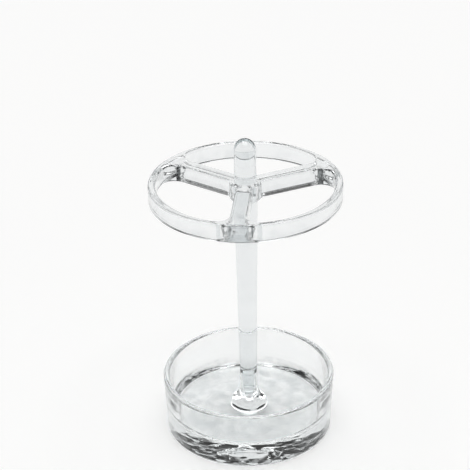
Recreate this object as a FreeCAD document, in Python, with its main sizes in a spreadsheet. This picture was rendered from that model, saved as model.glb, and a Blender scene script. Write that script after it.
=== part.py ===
# Clear moulded toothbrush holder: a round dish, a tapered post and a spoked ring.
# Origin at the centre of the face it stands on, +Z up, millimetres.
import FreeCAD, Part
import math
import os
import Sketcher

os.makedirs("parts", exist_ok=True)
doc = FreeCAD.newDocument("toothbrush_holder")

# Driving sizes: alias, value in millimetres (the last one is a count), what it measures
size_table = [
    ("rim_radius", 37.0, "outside of the dish at its rim"),
    ("foot_radius", 35.9, "outside of the dish where it stands"),
    ("rim_height", 25.5, "top of the dish wall"),
    ("rim_wall", 2.6, "dish wall at the rim"),
    ("foot_wall", 3.1, "dish wall at the floor"),
    ("floor_thickness", 8.6, "solid floor of the dish"),
    ("rim_round", 1.1, "rounding of the rim's two edges"),
    ("floor_round", 4.0, "rounding where the wall meets the floor inside"),
    ("foot_round", 1.2, "rounding of the lower outside edge"),
    ("dome_radius", 7.8, "dome that carries the neck"),
    ("dome_round", 0.8, "rounding where the dome meets the floor"),
    ("neck_height", 25.0, "top of the neck, where the post's shoulder sits"),
    ("neck_round", 2.0, "rounding where the neck grows out of the dome"),
    ("mouth_bevel", 0.4, "lead-in of the socket and of the spigot"),
    ("socket_radius", 2.6, "bore in the neck"),
    ("socket_depth", 14.0, "depth of that bore"),
    ("slip_clearance", 0.05, "radial clearance of a slip fit"),
    ("end_clearance", 0.5, "air under the spigot"),
    ("post_foot_radius", 3.75, "post and neck where they meet"),
    ("post_seat_radius", 5.0, "post just under the ring"),
    ("stem_radius", 4.6, "post inside the ring's hub"),
    ("tip_radius", 4.45, "rounded end of the post"),
    ("post_height", 135.6, "top of the post"),
    ("seat_height", 109.1, "underside of the ring"),
    ("ring_radius", 40.0, "outside of the ring"),
    ("ring_wall", 3.2, "thickness of the ring"),
    ("ring_height", 7.9, "height of the ring, its spokes and hub"),
    ("spoke_width", 6.8, "width of a spoke"),
    ("hub_radius", 6.6, "outside of the hub"),
    ("ring_corner", 5.2, "rounding between a spoke and the ring"),
    ("hub_corner", 4.0, "rounding between a spoke and the hub"),
    ("edge_round", 1.2, "rounding of the ring's upper and lower edges"),
    ("spoke_count", 3, "spokes, evenly spaced"),
]
full_turn = 360
half_turn = 180
quarter_turn = 90
match_tolerance = 1e-4
upwards = FreeCAD.Vector(0, 0, 1)

sizes = doc.addObject("Spreadsheet::Sheet", "sizes")
for row, (alias, value, meaning) in enumerate(size_table, start=1):
    sizes.set("A%d" % row, str(value))
    sizes.setAlias("A%d" % row, alias)
    sizes.set("B%d" % row, meaning)
doc.recompute()


def size(expression):
    # value of an expression in the sheet's aliases
    return float(sizes.evalExpression(expression))


def origin_plane(body, role):
    return next(feature for feature in body.Origin.OriginFeatures if feature.Role == role)


def new_body(label, height):
    # body whose own origin stands at a height above the ground
    body = doc.addObject("PartDesign::Body", label)
    body.Label = label
    body.setExpression("Placement.Base.z", height)
    return body


def new_sketch(body, name, role):
    sketch = body.newObject("Sketcher::SketchObject", name)
    sketch.AttachmentSupport = [(origin_plane(body, role), "")]
    sketch.MapMode = "FlatFace"
    return sketch


def bind(sketch, constraint, expression):
    # adds a constraint and ties its value to the sheet
    index = sketch.addConstraint(constraint)
    sketch.setExpression("Constraints[%d]" % index, expression)


def pin_point(sketch, line, end, across, up):
    # holds one end of a line at a place given by two expressions, or on an axis
    if across == "0":
        sketch.addConstraint(Sketcher.Constraint("PointOnObject", line, end, -2))
    else:
        bind(sketch, Sketcher.Constraint("DistanceX", line, end, size(across)), across)
    if up == "0":
        sketch.addConstraint(Sketcher.Constraint("PointOnObject", line, end, -1))
    else:
        bind(sketch, Sketcher.Constraint("DistanceY", line, end, size(up)), up)


def draw_outline(sketch, corners):
    # closed outline of straight lines through corners given as expressions
    places = [FreeCAD.Vector(size(across), size(up), 0) for across, up in corners]
    count = len(places)
    for index in range(count):
        sketch.addGeometry(Part.LineSegment(places[index], places[(index + 1) % count]), False)
    for index in range(count):
        sketch.addConstraint(Sketcher.Constraint("Coincident", index, 2, (index + 1) % count, 1))
    for index, (across, up) in enumerate(corners):
        pin_point(sketch, index, 1, across, up)


def draw_circle(sketch, radius):
    # circle about the body's axis
    centre = FreeCAD.Vector(0, 0, 0)
    sketch.addGeometry(Part.Circle(centre, upwards, size(radius)), False)
    sketch.addConstraint(Sketcher.Constraint("Coincident", 0, 3, -1, 1))
    bind(sketch, Sketcher.Constraint("Radius", 0, size(radius)), radius)


def turn(body, kind, name, corners):
    # revolves an outline, drawn as radius and height, about the body's own Z axis
    sketch = new_sketch(body, name + "_outline", "XZ_Plane")
    draw_outline(sketch, corners)
    feature = body.newObject(kind, name)
    feature.Profile = sketch
    feature.ReferenceAxis = (sketch, ["V_Axis"])
    feature.Angle = full_turn
    doc.recompute()
    return feature


def add_dome(body, name, radius, height):
    # half ball with its flat side down at a height
    dome = body.newObject("PartDesign::AdditiveSphere", name)
    dome.AttachmentSupport = [(origin_plane(body, "XY_Plane"), "")]
    dome.MapMode = "FlatFace"
    dome.setExpression("AttachmentOffset.Base.z", height)
    dome.setExpression("Radius", radius)
    dome.Angle1 = 0
    dome.Angle2 = quarter_turn
    doc.recompute()
    return dome


def near(value, wanted):
    return abs(value - wanted) < match_tolerance


def is_circle(edge, radius, height):
    # true for a circle about the body's axis with that radius at that height
    if edge.Degenerated:
        return False
    curve = edge.Curve
    return isinstance(curve, Part.Circle) and near(curve.Radius, radius) and near(curve.Center.z, height)


def dress(body, kind, name, wanted, property_name, expression):
    # fillet or chamfer on every edge of the body so far that the test picks
    base = body.Tip
    edges = ["Edge%d" % number for number, edge in enumerate(base.Shape.Edges, start=1) if wanted(edge)]
    if not edges:
        raise RuntimeError("no edge found for " + name)
    feature = body.newObject(kind, name)
    feature.Base = (base, edges)
    feature.setExpression(property_name, expression)
    doc.recompute()
    return feature


def round_edges(body, name, wanted, expression):
    return dress(body, "PartDesign::Fillet", name, wanted, "Radius", expression)


def bevel_edges(body, name, wanted, expression):
    return dress(body, "PartDesign::Chamfer", name, wanted, "Size", expression)


# Base dish: thick floor, thin flared wall, and a domed neck with the socket for the post
dish = new_body("base_dish", "0")
rim_inside = "sizes.rim_radius - sizes.rim_wall"
floor_inside = "sizes.foot_radius - sizes.foot_wall"
turn(dish, "PartDesign::Revolution", "dish_wall", [
    ("0", "0"),
    ("sizes.foot_radius", "0"),
    ("sizes.rim_radius", "sizes.rim_height"),
    (rim_inside, "sizes.rim_height"),
    (floor_inside, "sizes.floor_thickness"),
    ("sizes.post_foot_radius", "sizes.floor_thickness"),
    ("sizes.post_foot_radius", "sizes.neck_height"),
    ("0", "sizes.neck_height"),
])
add_dome(dish, "dome", "sizes.dome_radius", "sizes.floor_thickness")

rim_height = size("sizes.rim_height")
floor_height = size("sizes.floor_thickness")
neck_radius = size("sizes.post_foot_radius")
neck_height = size("sizes.neck_height")
dome_radius = size("sizes.dome_radius")
neck_root = floor_height + (dome_radius ** 2 - neck_radius ** 2) ** 0.5
round_edges(dish, "neck_round", lambda edge: is_circle(edge, neck_radius, neck_root), "sizes.neck_round")
round_edges(dish, "dome_round", lambda edge: is_circle(edge, dome_radius, floor_height), "sizes.dome_round")
round_edges(
    dish, "floor_round",
    lambda edge: is_circle(edge, size(floor_inside), floor_height),
    "sizes.floor_round",
)
rim_radii = [size("sizes.rim_radius"), size(rim_inside)]
round_edges(
    dish, "rim_round",
    lambda edge: any(is_circle(edge, radius, rim_height) for radius in rim_radii),
    "sizes.rim_round",
)
round_edges(dish, "foot_round", lambda edge: is_circle(edge, size("sizes.foot_radius"), 0), "sizes.foot_round")

solid_volume = dish.Shape.Volume
turn(dish, "PartDesign::Groove", "socket", [
    ("0", "sizes.neck_height"),
    ("sizes.socket_radius", "sizes.neck_height"),
    ("sizes.socket_radius", "sizes.neck_height - sizes.socket_depth"),
    ("0", "sizes.neck_height - sizes.socket_depth"),
])
if dish.Shape.Volume >= solid_volume:
    raise RuntimeError("the socket cut nothing")
socket_radius = size("sizes.socket_radius")
bevel_edges(dish, "socket_lead", lambda edge: is_circle(edge, socket_radius, neck_height), "sizes.mouth_bevel")

# Post: spigot, shoulder on the neck, widening shaft, seat for the ring, stem and rounded end.
# Its own origin is its shoulder.
post = new_body("post", "sizes.neck_height")
spigot_radius = "sizes.socket_radius - sizes.slip_clearance"
spigot_end = "sizes.end_clearance - sizes.socket_depth"
seat_level = "sizes.seat_height - sizes.neck_height"
stem_top = "sizes.seat_height + sizes.ring_height - sizes.neck_height"
tip_level = "sizes.post_height - sizes.tip_radius - sizes.neck_height"
turn(post, "PartDesign::Revolution", "shaft", [
    ("0", spigot_end),
    (spigot_radius, spigot_end),
    (spigot_radius, "0"),
    ("sizes.post_foot_radius", "0"),
    ("sizes.post_seat_radius", seat_level),
    ("sizes.stem_radius", seat_level),
    ("sizes.stem_radius", stem_top),
    ("sizes.tip_radius", tip_level),
    ("0", tip_level),
])
add_dome(post, "rounded_end", "sizes.tip_radius", tip_level)
bevel_edges(
    post, "spigot_lead",
    lambda edge: is_circle(edge, size(spigot_radius), size(spigot_end)),
    "sizes.mouth_bevel",
)

# Spoke ring: a plate with rounded sector openings and a bored hub. Its own origin is its underside.
ring = new_body("spoke_ring", "sizes.seat_height")
disc_sketch = new_sketch(ring, "disc_outline", "XY_Plane")
draw_circle(disc_sketch, "sizes.ring_radius")
disc = ring.newObject("PartDesign::Pad", "disc")
disc.Profile = disc_sketch
disc.setExpression("Length", "sizes.ring_height")
doc.recompute()

# One opening, across +Y: two straight sides along its spokes, an outer and an inner arc
ring_inside = "sizes.ring_radius - sizes.ring_wall"
half_spoke = "sizes.spoke_width / 2"
side_angle = "%d - %d / sizes.spoke_count" % (quarter_turn, half_turn)
opening_sketch = new_sketch(ring, "opening_outline", "XY_Plane")
turned = FreeCAD.Rotation(upwards, size(side_angle))


def side_point(radius):
    # where a circle about the axis meets the spoke's side
    reach = (radius ** 2 - size(half_spoke) ** 2) ** 0.5
    return turned.multVec(FreeCAD.Vector(reach, size(half_spoke), 0))


def mirrored(point):
    return FreeCAD.Vector(-point.x, point.y, 0)


inner_point = side_point(size("sizes.hub_radius"))
outer_point = side_point(size(ring_inside))
outer_arc = Part.Arc(outer_point, FreeCAD.Vector(0, size(ring_inside), 0), mirrored(outer_point))
inner_arc = Part.Arc(inner_point, FreeCAD.Vector(0, size("sizes.hub_radius"), 0), mirrored(inner_point))
opening_sketch.addGeometry(Part.LineSegment(inner_point, outer_point), False)
opening_sketch.addGeometry(outer_arc, False)
opening_sketch.addGeometry(Part.LineSegment(mirrored(outer_point), mirrored(inner_point)), False)
opening_sketch.addGeometry(inner_arc, False)
for line, end, next_line, next_end in ((0, 2, 1, 1), (1, 2, 2, 1), (2, 2, 3, 2), (3, 1, 0, 1)):
    opening_sketch.addConstraint(Sketcher.Constraint("Coincident", line, end, next_line, next_end))
for arc, radius in ((1, ring_inside), (3, "sizes.hub_radius")):
    opening_sketch.addConstraint(Sketcher.Constraint("Coincident", arc, 3, -1, 1))
    bind(opening_sketch, Sketcher.Constraint("Radius", arc, size(radius)), radius)
bind(opening_sketch, Sketcher.Constraint("Angle", 0, math.radians(size(side_angle))), side_angle)
bind(opening_sketch, Sketcher.Constraint("Distance", -1, 1, 0, size(half_spoke)), half_spoke)
opening_sketch.addConstraint(Sketcher.Constraint("Horizontal", 0, 1, 2, 2))
opening_sketch.addConstraint(Sketcher.Constraint("Horizontal", 0, 2, 2, 1))


def cut_through(body, name, sketch):
    # pocket right through the plate above the sketch
    volume_before = body.Shape.Volume
    pocket = body.newObject("PartDesign::Pocket", name)
    pocket.Profile = sketch
    pocket.Type = "ThroughAll"
    pocket.Reversed = True
    doc.recompute()
    if body.Shape.Volume >= volume_before:
        raise RuntimeError(name + " cut nothing")
    return pocket


opening = cut_through(ring, "opening", opening_sketch)
openings = ring.newObject("PartDesign::PolarPattern", "openings")
openings.Originals = [opening]
openings.Axis = (opening_sketch, ["N_Axis"])
openings.Angle = full_turn
openings.setExpression("Occurrences", "sizes.spoke_count")
ring.Tip = openings
doc.recompute()


def is_upright(edge, radius):
    # true for a straight upright edge at that distance from the axis
    first, last = edge.Vertexes[0].Point, edge.Vertexes[-1].Point
    upright = near(first.x, last.x) and near(first.y, last.y) and not near(first.z, last.z)
    return upright and near((first.x ** 2 + first.y ** 2) ** 0.5, radius)


def is_level(edge, height):
    box = edge.BoundBox
    return near(box.ZMin, height) and near(box.ZMax, height)


ring_height = size("sizes.ring_height")
round_edges(ring, "ring_corners", lambda edge: is_upright(edge, size(ring_inside)), "sizes.ring_corner")
round_edges(ring, "hub_corners", lambda edge: is_upright(edge, size("sizes.hub_radius")), "sizes.hub_corner")
round_edges(
    ring, "soft_edges",
    lambda edge: is_level(edge, 0) or is_level(edge, ring_height),
    "sizes.edge_round",
)

bore_radius = "sizes.stem_radius + sizes.slip_clearance"
bore_sketch = new_sketch(ring, "bore_outline", "XY_Plane")
draw_circle(bore_sketch, bore_radius)
cut_through(ring, "bore", bore_sketch)

# Every feature has to be sound before anything is written
bodies = [dish, post, ring]
for feature in doc.Objects:
    if "Invalid" in feature.State or "Error" in feature.State:
        raise RuntimeError(feature.Name + " failed")
for body in bodies:
    shape = body.Shape
    if shape.isNull() or not shape.isValid() or len(shape.Solids) != 1:
        raise RuntimeError(body.Label + " is not one sound solid")
for body in bodies:
    body.Shape.exportStep(os.path.join("parts", body.Label + ".step"))
    box = body.Shape.BoundBox
    print("%-11s volume %9.1f  z %.2f to %.2f" % (body.Label, body.Shape.Volume, box.ZMin, box.ZMax))
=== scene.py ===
import bpy
import math
from mathutils import Matrix, Vector


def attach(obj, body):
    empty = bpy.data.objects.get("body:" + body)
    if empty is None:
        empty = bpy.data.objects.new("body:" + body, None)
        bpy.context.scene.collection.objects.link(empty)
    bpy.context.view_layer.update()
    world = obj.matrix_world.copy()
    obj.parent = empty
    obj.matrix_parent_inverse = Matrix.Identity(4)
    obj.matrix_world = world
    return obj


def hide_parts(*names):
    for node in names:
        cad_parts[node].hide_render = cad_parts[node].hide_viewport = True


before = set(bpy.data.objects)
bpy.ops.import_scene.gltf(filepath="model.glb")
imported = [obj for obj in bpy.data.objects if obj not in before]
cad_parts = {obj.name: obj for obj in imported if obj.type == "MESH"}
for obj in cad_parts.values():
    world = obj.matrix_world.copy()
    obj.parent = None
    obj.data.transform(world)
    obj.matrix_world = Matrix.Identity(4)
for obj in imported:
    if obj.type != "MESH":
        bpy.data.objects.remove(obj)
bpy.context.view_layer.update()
mm = 0.001
print("frame loaded:", ", ".join(sorted(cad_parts)))


# modelling helpers, sizes in millimetres and angles in degrees

making = {
    "sameWithin": 0.01, "weldWithin": 0.001, "roundProfile": 0.5,
    "smoothUnder": 32, "flatWeight": 80, "levelFrom": 0.5,
}


def startLoop(name, sides, radius, height):
    # open circle about the upright axis, left in edit mode and selected
    bpy.ops.object.select_all(action="DESELECT")
    bpy.ops.mesh.primitive_circle_add(
        vertices=sides, radius=radius * mm, location=(0, 0, height * mm), fill_type="NOTHING")
    piece = bpy.context.object
    piece.name = piece.data.name = name
    bpy.ops.object.transform_apply(location=True, rotation=True, scale=True)
    bpy.ops.object.mode_set(mode="EDIT")
    bpy.ops.mesh.select_mode(type="EDGE")
    bpy.ops.mesh.select_all(action="SELECT")
    return piece


def climb(run):
    # extrude the selected loop through radii and heights, the first of which is its own
    for start, end in zip(run, run[1:]):
        rise = (end[1] - start[1]) * mm
        grow = end[0] / start[0]
        bpy.ops.mesh.extrude_edges_move(TRANSFORM_OT_translate={"value": (0, 0, rise)})
        bpy.ops.transform.resize(value=(grow, grow, 1), center_override=(0, 0, 0))


def ballPoints(radius, base, lean, steps):
    # radii and heights up a ball from its widest circle
    turns = [lean * step / steps for step in range(1, steps + 1)]
    return [(radius * math.cos(turn), base + radius * math.sin(turn)) for turn in turns]


def near(a, b):
    return abs(a - b) < making["sameWithin"]


def pickLoop(piece, radius, height):
    # select the edges of one level circle
    bpy.ops.mesh.select_all(action="DESELECT")
    bpy.ops.object.mode_set(mode="OBJECT")
    points = [v.co / mm for v in piece.data.vertices]
    onLoop = [near(p.xy.length, radius) and near(p.z, height) for p in points]
    for edge in piece.data.edges:
        edge.select = all(onLoop[i] for i in edge.vertices)
    bpy.ops.object.mode_set(mode="EDIT")


def bevelPicked(amount, steps):
    bpy.ops.mesh.bevel(offset=amount * mm, segments=steps, profile=making["roundProfile"], affect="EDGES")


def softenLoop(piece, place, amount, steps):
    pickLoop(piece, *place)
    bevelPicked(amount, steps)


def closeLoop(piece, place):
    pickLoop(piece, *place)
    bpy.ops.mesh.edge_face_add()


def finishPiece(piece, body, node, material):
    # weld, face outwards, smooth with flat faces kept flat, and hand over to the frame
    bpy.ops.mesh.select_all(action="SELECT")
    bpy.ops.mesh.remove_doubles(threshold=making["weldWithin"] * mm)
    bpy.ops.mesh.normals_make_consistent(inside=False)
    bpy.ops.object.mode_set(mode="OBJECT")
    bpy.ops.object.shade_smooth_by_angle(angle=math.radians(making["smoothUnder"]))
    weigh = piece.modifiers.new("flatFaces", "WEIGHTED_NORMAL")
    weigh.keep_sharp = True
    weigh.weight = making["flatWeight"]
    bpy.ops.object.modifier_apply(modifier=weigh.name)
    piece.data.materials.clear()
    piece.data.materials.append(material)
    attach(piece, body)
    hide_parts(node)
    print("made", piece.name, "with", len(piece.data.polygons), "faces")
    return piece


# node helpers, each taking the node tree first

def addNoise(tree, place, scale, detail):
    noise = tree.nodes.new("ShaderNodeTexNoise")
    noise.inputs["Scale"].default_value = scale
    noise.inputs["Detail"].default_value = detail
    tree.links.new(place, noise.inputs["Vector"])
    return noise


def addRange(tree, value, source, target):
    # carries one span of values over to another
    span = tree.nodes.new("ShaderNodeMapRange")
    for label, number in zip(("From Min", "From Max", "To Min", "To Max"), (*source, *target)):
        span.inputs[label].default_value = number
    tree.links.new(value, span.inputs["Value"])
    return span


def addMath(tree, operation, first, second):
    sums = tree.nodes.new("ShaderNodeMath")
    sums.operation = operation
    tree.links.new(first, sums.inputs[0])
    tree.links.new(second, sums.inputs[1])
    return sums.outputs["Value"]


def addBump(tree, height, strength, depth):
    bump = tree.nodes.new("ShaderNodeBump")
    bump.inputs["Strength"].default_value = strength
    bump.inputs["Distance"].default_value = depth * mm
    tree.links.new(height, bump.inputs["Height"])
    return bump


# clear moulded plastic, with a finish of its own on each piece

grain = {
    # the first three entries set the painted mottled shade in the plastic's colour
    "mottledShadeDetail": 4, "mottledShadeFrom": 0.42, "mottledShadeTo": 0.6,
    "filmDetail": 5, "filmRoughness": 0.62, "filmFrom": 0.5, "filmTo": 0.8,
    "flowDetail": 1,
    "hairDetail": 3, "hairStrength": 0.03, "hairDepth": 0.05,
}


def lowDown(tree, place, look):
    # one in the thick part low down, less in the thin walls above it
    split = tree.nodes.new("ShaderNodeSeparateXYZ")
    tree.links.new(place, split.inputs["Vector"])
    fade = addRange(
        tree, split.outputs["Z"], (look["thickTo"] * mm, look["thinFrom"] * mm), (1, look["calm"]))
    fade.interpolation_type = "SMOOTHSTEP"
    return fade.outputs["Result"]


def paintMottledShade(tree, place, low, look):
    # painted mottled shade: random blotches a little greyer than the plastic, standing in for the patchy
    # refraction of the thick plastic
    mottleNoise = addNoise(tree, place, look["mottledShadeScale"], grain["mottledShadeDetail"])
    mottleRamp = tree.nodes.new("ShaderNodeValToRGB")
    spots = ((grain["mottledShadeFrom"], look["tint"]), (grain["mottledShadeTo"], look["mottledShade"]))
    for stop, (spot, colour) in zip(mottleRamp.color_ramp.elements, spots):
        stop.position = spot
        stop.color = (*colour, 1)
    tree.links.new(addMath(tree, "MULTIPLY", mottleNoise.outputs["Fac"], low), mottleRamp.inputs["Fac"])
    return mottleRamp.outputs["Color"]


def wipedFilm(tree, place, look):
    # film of water and soap that dulls the polish in places
    film = addNoise(tree, place, look["filmScale"], grain["filmDetail"])
    film.inputs["Roughness"].default_value = grain["filmRoughness"]
    dulled = addRange(
        tree, film.outputs["Fac"], (grain["filmFrom"], grain["filmTo"]), (look["polish"], look["dulled"]))
    return dulled.outputs["Result"]


def coolingWaves(tree, place, low, look):
    # waves left as the plastic cooled
    flow = addNoise(tree, place, look["flowScale"], grain["flowDetail"])
    height = addMath(tree, "MULTIPLY", flow.outputs["Fac"], low)
    return addBump(tree, height, look["flowStrength"], look["flowDepth"]).outputs["Normal"]


def wipeHairs(tree, place, waves, look):
    # hairline scratches from wiping round, on top of the waves
    stretch = tree.nodes.new("ShaderNodeMapping")
    stretch.inputs["Scale"].default_value = look["wipe"]
    tree.links.new(place, stretch.inputs["Vector"])
    hairs = addNoise(tree, stretch.outputs["Vector"], 1, grain["hairDetail"])
    scratch = addBump(tree, hairs.outputs["Fac"], grain["hairStrength"], grain["hairDepth"])
    tree.links.new(waves, scratch.inputs["Normal"])
    return scratch.outputs["Normal"]


def acrylic(name, look):
    material = bpy.data.materials.new(name)
    material.use_nodes = True
    tree = material.node_tree
    shader = tree.nodes["Principled BSDF"]
    shader.inputs["Transmission Weight"].default_value = 1
    shader.inputs["IOR"].default_value = look["ior"]
    body = tree.nodes.new("ShaderNodeVolumeAbsorption")  # light that runs far inside comes out greyer
    body.inputs["Color"].default_value = (*look["body"], 1)
    body.inputs["Density"].default_value = look["bodyDensity"]
    tree.links.new(body.outputs["Volume"], tree.nodes["Material Output"].inputs["Volume"])

    place = tree.nodes.new("ShaderNodeTexCoord").outputs["Object"]
    low = lowDown(tree, place, look)
    waves = coolingWaves(tree, place, low, look)
    # painted mottled shade goes into the base colour, strongest in the thick plastic low down
    tree.links.new(paintMottledShade(tree, place, low, look), shader.inputs["Base Color"])
    tree.links.new(wipedFilm(tree, place, look), shader.inputs["Roughness"])
    tree.links.new(wipeHairs(tree, place, waves, look), shader.inputs["Normal"])
    return material


# base dish: outside wall, rim, inside wall, floor, dome, neck and socket as one loop run upwards

dish = {
    "sides": 160,
    "foot": (35.9, 0), "rimOutside": (37, 25.5), "rimInside": (34.4, 25.5), "floorEdge": (32.8, 8.6),
    "domeFoot": (7.8, 8.6), "domeSteps": 14, "neckTop": (3.75, 25),
    "mouth": (3, 25), "socketTop": (2.6, 24.6), "socketEnd": (2.6, 11),
    # size and steps of each rounding
    "neckRound": (2, 8),
    "rounds": {
        "domeFoot": (0.8, 5), "floorEdge": (4, 12),
        "rimOutside": (1.1, 7), "rimInside": (1.1, 7), "foot": (1.2, 6)},
    "finish": {
        # the second colour is painted mottled shade, greyer than the tint
        "tint": (0.96, 0.968, 0.97), "mottledShade": (0.82, 0.84, 0.845), "mottledShadeScale": 190,
        "ior": 1.49, "body": (0.3, 0.38, 0.4), "bodyDensity": 2.5,
        "filmScale": 60, "polish": 0, "dulled": 0.04,
        "flowScale": 150, "flowStrength": 0.3, "flowDepth": 0.6, "thickTo": 9, "thinFrom": 14, "calm": 0.1,
        "wipe": (60, 60, 2400)},
}


def makeDish():
    piece = startLoop("clearDish", dish["sides"], *dish["foot"])
    domeRadius, domeBase = dish["domeFoot"]
    lean = math.acos(dish["neckTop"][0] / domeRadius)
    dome = ballPoints(domeRadius, domeBase, lean, dish["domeSteps"])
    climb([
        dish["foot"], dish["rimOutside"], dish["rimInside"], dish["floorEdge"], dish["domeFoot"], *dome,
        dish["neckTop"], dish["mouth"], dish["socketTop"], dish["socketEnd"]])
    bpy.ops.mesh.edge_face_add()
    closeLoop(piece, dish["foot"])
    softenLoop(piece, dome[-1], *dish["neckRound"])
    for edge, (amount, steps) in dish["rounds"].items():
        softenLoop(piece, dish[edge], amount, steps)
    return finishPiece(piece, "base", "base_dish", acrylic("dishAcrylic", dish["finish"]))


# post: spigot, shoulder, widening shaft, seat, stem and rounded end

post = {
    "sides": 96,
    "spigotEnd": (2.15, 11.5), "spigotLead": (2.55, 11.9), "spigotTop": (2.55, 25), "shoulder": (3.75, 25),
    "seatEdge": (5, 109.1), "seat": (4.6, 109.1), "stemTop": (4.6, 117), "tipStart": (4.45, 131.15),
    "tipSteps": 16,
    "finish": {
        # the second colour is painted mottled shade, greyer than the tint
        "tint": (0.9, 0.914, 0.92), "mottledShade": (0.87, 0.886, 0.892), "mottledShadeScale": 130,
        "ior": 1.49, "body": (0.3, 0.38, 0.4), "bodyDensity": 9,
        "filmScale": 90, "polish": 0, "dulled": 0.03,
        "flowScale": 40, "flowStrength": 0.2, "flowDepth": 0.5, "thickTo": 100, "thinFrom": 130, "calm": 0.6,
        "wipe": (90, 90, 2600)},
}


def makePost():
    piece = startLoop("clearPost", post["sides"], *post["spigotEnd"])
    tipRadius, tipBase = post["tipStart"]
    tip = ballPoints(tipRadius, tipBase, math.pi / 2, post["tipSteps"])[:-1]
    climb([
        post["spigotEnd"], post["spigotLead"], post["spigotTop"], post["shoulder"], post["seatEdge"],
        post["seat"], post["stemTop"], post["tipStart"], *tip])
    bpy.ops.mesh.extrude_edges_move(
        TRANSFORM_OT_translate={"value": (0, 0, (tipBase + tipRadius - tip[-1][1]) * mm)})
    bpy.ops.mesh.merge(type="CENTER")
    closeLoop(piece, post["spigotEnd"])
    return finishPiece(piece, "pillar", "post", acrylic("postAcrylic", post["finish"]))


# spoke ring: one opening is drawn with spun corners, copied round, filled, raised and softened

ring = {
    "sides": 240, "boreSides": 96, "seedSides": 3, "seedRadius": 1,
    "radius": 40, "wall": 3.2, "height": 7.9, "underside": 109.1,
    "spokes": 3, "spokeWidth": 6.8, "hubRadius": 6.6, "boreRadius": 4.65, "boreMargin": 0.1,
    "ringCorner": 5.2, "hubCorner": 4, "edgeRound": (1.2, 6),
    "ringSteps": 44, "ringCornerSteps": 18, "sideSteps": 6, "hubCornerSteps": 14, "hubSteps": 6,
    "finish": {
        # the second colour is painted mottled shade, greyer than the tint
        "tint": (0.92, 0.931, 0.936), "mottledShade": (0.85, 0.866, 0.873), "mottledShadeScale": 130,
        "ior": 1.49, "body": (0.3, 0.38, 0.4), "bodyDensity": 6,
        "filmScale": 70, "polish": 0, "dulled": 0.03,
        "flowScale": 50, "flowStrength": 0.15, "flowDepth": 0.5, "thickTo": 110, "thinFrom": 118, "calm": 0.7,
        "wipe": (70, 70, 2400)},
}


def seedPoint(across):
    # a single point at the given distance along +Y, left in edit mode
    bpy.ops.object.select_all(action="DESELECT")
    bpy.ops.mesh.primitive_circle_add(
        vertices=ring["seedSides"], radius=ring["seedRadius"] * mm,
        location=(0, across * mm, ring["underside"] * mm), fill_type="NOTHING")
    piece = bpy.context.object
    bpy.ops.object.transform_apply(location=True, rotation=True, scale=True)
    bpy.ops.object.mode_set(mode="EDIT")
    bpy.ops.mesh.select_mode(type="VERT")
    bpy.ops.mesh.select_all(action="SELECT")
    bpy.ops.mesh.merge(type="CENTER")
    return piece


def spinTo(steps, angle, centre):
    # carry the selected point round a centre, leaving an arc behind it; spin counts clockwise
    pivot = (centre[0] * mm, centre[1] * mm, ring["underside"] * mm)
    bpy.ops.mesh.spin(steps=steps, angle=-angle, center=pivot, axis=(0, 0, 1))


def drawOpening():
    # right half of the opening across +Y, from the ring's middle to the hub's middle, then mirrored
    inside = ring["radius"] - ring["wall"]
    half = ring["spokeWidth"] / 2
    side = math.pi / 2 - math.pi / ring["spokes"]  # direction of the spoke on the right
    ringReach = inside - ring["ringCorner"]
    ringTurn = math.asin((half + ring["ringCorner"]) / ringReach)
    hubReach = ring["hubRadius"] + ring["hubCorner"]
    hubTurn = math.asin((half + ring["hubCorner"]) / hubReach)
    ringCentre = (ringReach * math.cos(side + ringTurn), ringReach * math.sin(side + ringTurn))
    hubCentre = (hubReach * math.cos(side + hubTurn), hubReach * math.sin(side + hubTurn))
    straight = ringReach * math.cos(ringTurn) - hubReach * math.cos(hubTurn)

    piece = seedPoint(inside)
    spinTo(ring["ringSteps"], side + ringTurn - math.pi / 2, (0, 0))
    spinTo(ring["ringCornerSteps"], -(math.pi / 2 + ringTurn), ringCentre)
    step = straight / ring["sideSteps"] * mm
    for _ in range(ring["sideSteps"]):
        bpy.ops.mesh.extrude_vertices_move(
            TRANSFORM_OT_translate={"value": (-step * math.cos(side), -step * math.sin(side), 0)})
    spinTo(ring["hubCornerSteps"], -(math.pi / 2 - hubTurn), hubCentre)
    spinTo(ring["hubSteps"], math.pi / 2 - side - hubTurn, (0, 0))
    bpy.ops.object.mode_set(mode="OBJECT")

    mirror = piece.modifiers.new("otherHalf", "MIRROR")
    mirror.merge_threshold = making["sameWithin"] * mm
    bpy.ops.object.modifier_apply(modifier=mirror.name)
    return piece


def pickRims(piece):
    # select the edges where a flat face meets a wall, but not round the bore
    bpy.ops.mesh.select_all(action="DESELECT")
    bpy.ops.object.mode_set(mode="OBJECT")
    mesh = piece.data
    walls, flats = set(), set()
    for face in mesh.polygons:
        level = abs(face.normal.z) > making["levelFrom"]
        (flats if level else walls).update(face.edge_keys)
    reach = [v.co.xy.length / mm for v in mesh.vertices]
    for edge in mesh.edges:
        clear = min(reach[i] for i in edge.vertices) > ring["boreRadius"] + ring["boreMargin"]
        edge.select = clear and edge.key in walls and edge.key in flats
    bpy.ops.object.mode_set(mode="EDIT")


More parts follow.
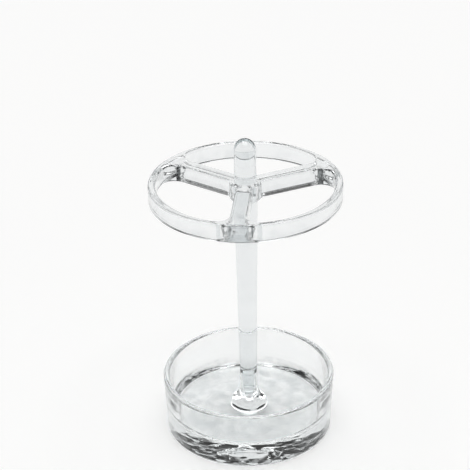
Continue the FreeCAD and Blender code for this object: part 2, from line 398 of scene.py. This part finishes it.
def makeRing():
    piece = drawOpening()
    piece.name = piece.data.name = "clearRing"
    bpy.ops.object.mode_set(mode="EDIT")
    bpy.ops.mesh.select_mode(type="EDGE")
    bpy.ops.mesh.select_all(action="SELECT")
    for _ in range(ring["spokes"] - 1):
        bpy.ops.mesh.duplicate()
        bpy.ops.transform.rotate(
            value=math.tau / ring["spokes"], orient_axis="Z", center_override=(0, 0, 0))
    for radius, sides in ((ring["radius"], ring["sides"]), (ring["boreRadius"], ring["boreSides"])):
        bpy.ops.mesh.primitive_circle_add(
            vertices=sides, radius=radius * mm, location=(0, 0, ring["underside"] * mm), fill_type="NOTHING")
    bpy.ops.mesh.select_all(action="SELECT")
    bpy.ops.mesh.remove_doubles(threshold=making["weldWithin"] * mm)
    bpy.ops.mesh.fill(use_beauty=True)
    bpy.ops.mesh.select_all(action="SELECT")
    bpy.ops.mesh.extrude_region_move(TRANSFORM_OT_translate={"value": (0, 0, ring["height"] * mm)})
    bpy.ops.mesh.select_all(action="SELECT")
    bpy.ops.mesh.normals_make_consistent(inside=False)
    pickRims(piece)
    bevelPicked(*ring["edgeRound"])
    return finishPiece(piece, "carrier", "spoke_ring", acrylic("ringAcrylic", ring["finish"]))


makeDish()
makePost()
makeRing()


# plain pale floor, room and light, sizes in metres

stage = {
    "floorSide": 4, "floorDrop": 0.0002, "floorColour": (0.93, 0.93, 0.925), "floorRoughness": 0.9,
    "floorLift": 0.15, "backdrop": 0.96,
    # height of a direction and how light the room is there
    "room": [(0, 0.02), (0.19, 0.02), (0.28, 0.94), (0.52, 0.94), (0.58, 0.01)],
    "lampAcross": 7.6, "lampHeight": 8, "lampPower": 490,
    "bounces": 32, "glossyBounces": 16, "clearBounces": 24,
}


def makeFloor():
    bpy.ops.object.select_all(action="DESELECT")
    bpy.ops.mesh.primitive_plane_add(size=stage["floorSide"], location=(0, 0, -stage["floorDrop"]))
    floor = bpy.context.object
    floor.name = "paleFloor"
    paint = bpy.data.materials.new("paleFloorPaint")
    paint.use_nodes = True
    tree = paint.node_tree
    shader = tree.nodes["Principled BSDF"]
    shader.inputs["Base Color"].default_value = (*stage["floorColour"], 1)
    shader.inputs["Roughness"].default_value = stage["floorRoughness"]
    shader.inputs["Specular IOR Level"].default_value = 0
    shader.inputs["Emission Color"].default_value = (1, 1, 1, 1)

    rays = tree.nodes.new("ShaderNodeLightPath")  # paler to the eye, also through the plastic
    seen = rays.outputs["Is Camera Ray"]
    for kind in ("Is Glossy Ray", "Is Transmission Ray"):
        seen = addMath(tree, "MAXIMUM", seen, rays.outputs[kind])
    lift = addRange(tree, seen, (0, 1), (0, stage["floorLift"]))
    tree.links.new(lift.outputs["Result"], shader.inputs["Emission Strength"])
    floor.data.materials.append(paint)


def makeRoom():
    world = bpy.data.worlds.new("softRoom")
    bpy.context.scene.world = world
    world.use_nodes = True
    tree = world.node_tree
    place = tree.nodes.new("ShaderNodeTexCoord")
    split = tree.nodes.new("ShaderNodeSeparateXYZ")
    tree.links.new(place.outputs["Generated"], split.inputs["Vector"])
    room = tree.nodes.new("ShaderNodeValToRGB")  # pale walls all round under a dark ceiling
    stops = room.color_ramp.elements
    while len(stops) < len(stage["room"]):
        stops.new(1)
    for stop, (height, level) in zip(stops, stage["room"]):
        stop.position = height
        stop.color = (level, level, level, 1)
    tree.links.new(split.outputs["Z"], room.inputs["Fac"])

    rays = tree.nodes.new("ShaderNodeLightPath")  # the eye sees a plain white backdrop instead
    seen = tree.nodes.new("ShaderNodeMix")
    seen.data_type = "FLOAT"
    seen.inputs["B"].default_value = stage["backdrop"]
    tree.links.new(rays.outputs["Is Camera Ray"], seen.inputs["Factor"])
    tree.links.new(room.outputs["Color"], seen.inputs["A"])
    backdrop = tree.nodes["Background"]
    backdrop.inputs["Color"].default_value = (1, 1, 1, 1)
    tree.links.new(seen.outputs["Result"], backdrop.inputs["Strength"])


def makeLamp():
    bpy.ops.object.light_add(type="AREA", location=(0, 0, stage["lampHeight"]))
    lamp = bpy.context.object
    lamp.name = "overheadPanel"
    lamp.data.shape = "DISK"
    lamp.data.size = stage["lampAcross"]
    lamp.data.energy = stage["lampPower"]

    cycles = bpy.context.scene.cycles  # light is followed far enough through the clear walls
    cycles.max_bounces = stage["bounces"]
    cycles.glossy_bounces = stage["glossyBounces"]
    cycles.transmission_bounces = stage["clearBounces"]
    cycles.blur_glossy = 0


# camera of the photo, place and lens in millimetres

view = {
    "place": (54.96, -570.73, 396.49),
    "forward": (-0.0918, 0.87839, -0.46906),
    "up": (-0.02809, 0.46858, 0.88298),
    "lens": 119.8, "sensor": 36, "nearest": 10,
}


def makeCamera():
    data = bpy.data.cameras.new("photoView")
    data.lens = view["lens"]
    data.sensor_width = view["sensor"]
    data.clip_start = view["nearest"] * mm
    camera = bpy.data.objects.new("photoView", data)
    bpy.context.scene.collection.objects.link(camera)
    back = -Vector(view["forward"]).normalized()
    right = Vector(view["up"]).cross(back).normalized()
    up = back.cross(right)
    turn = Matrix((right, up, back)).transposed().to_4x4()
    camera.matrix_world = Matrix.Translation(Vector(view["place"]) * mm) @ turn
    bpy.context.scene.camera = camera


makeFloor()
makeRoom()
makeLamp()
print("stage set")
makeCamera()
print("camera placed")
bpy.context.scene.view_settings.view_transform = "Standard"
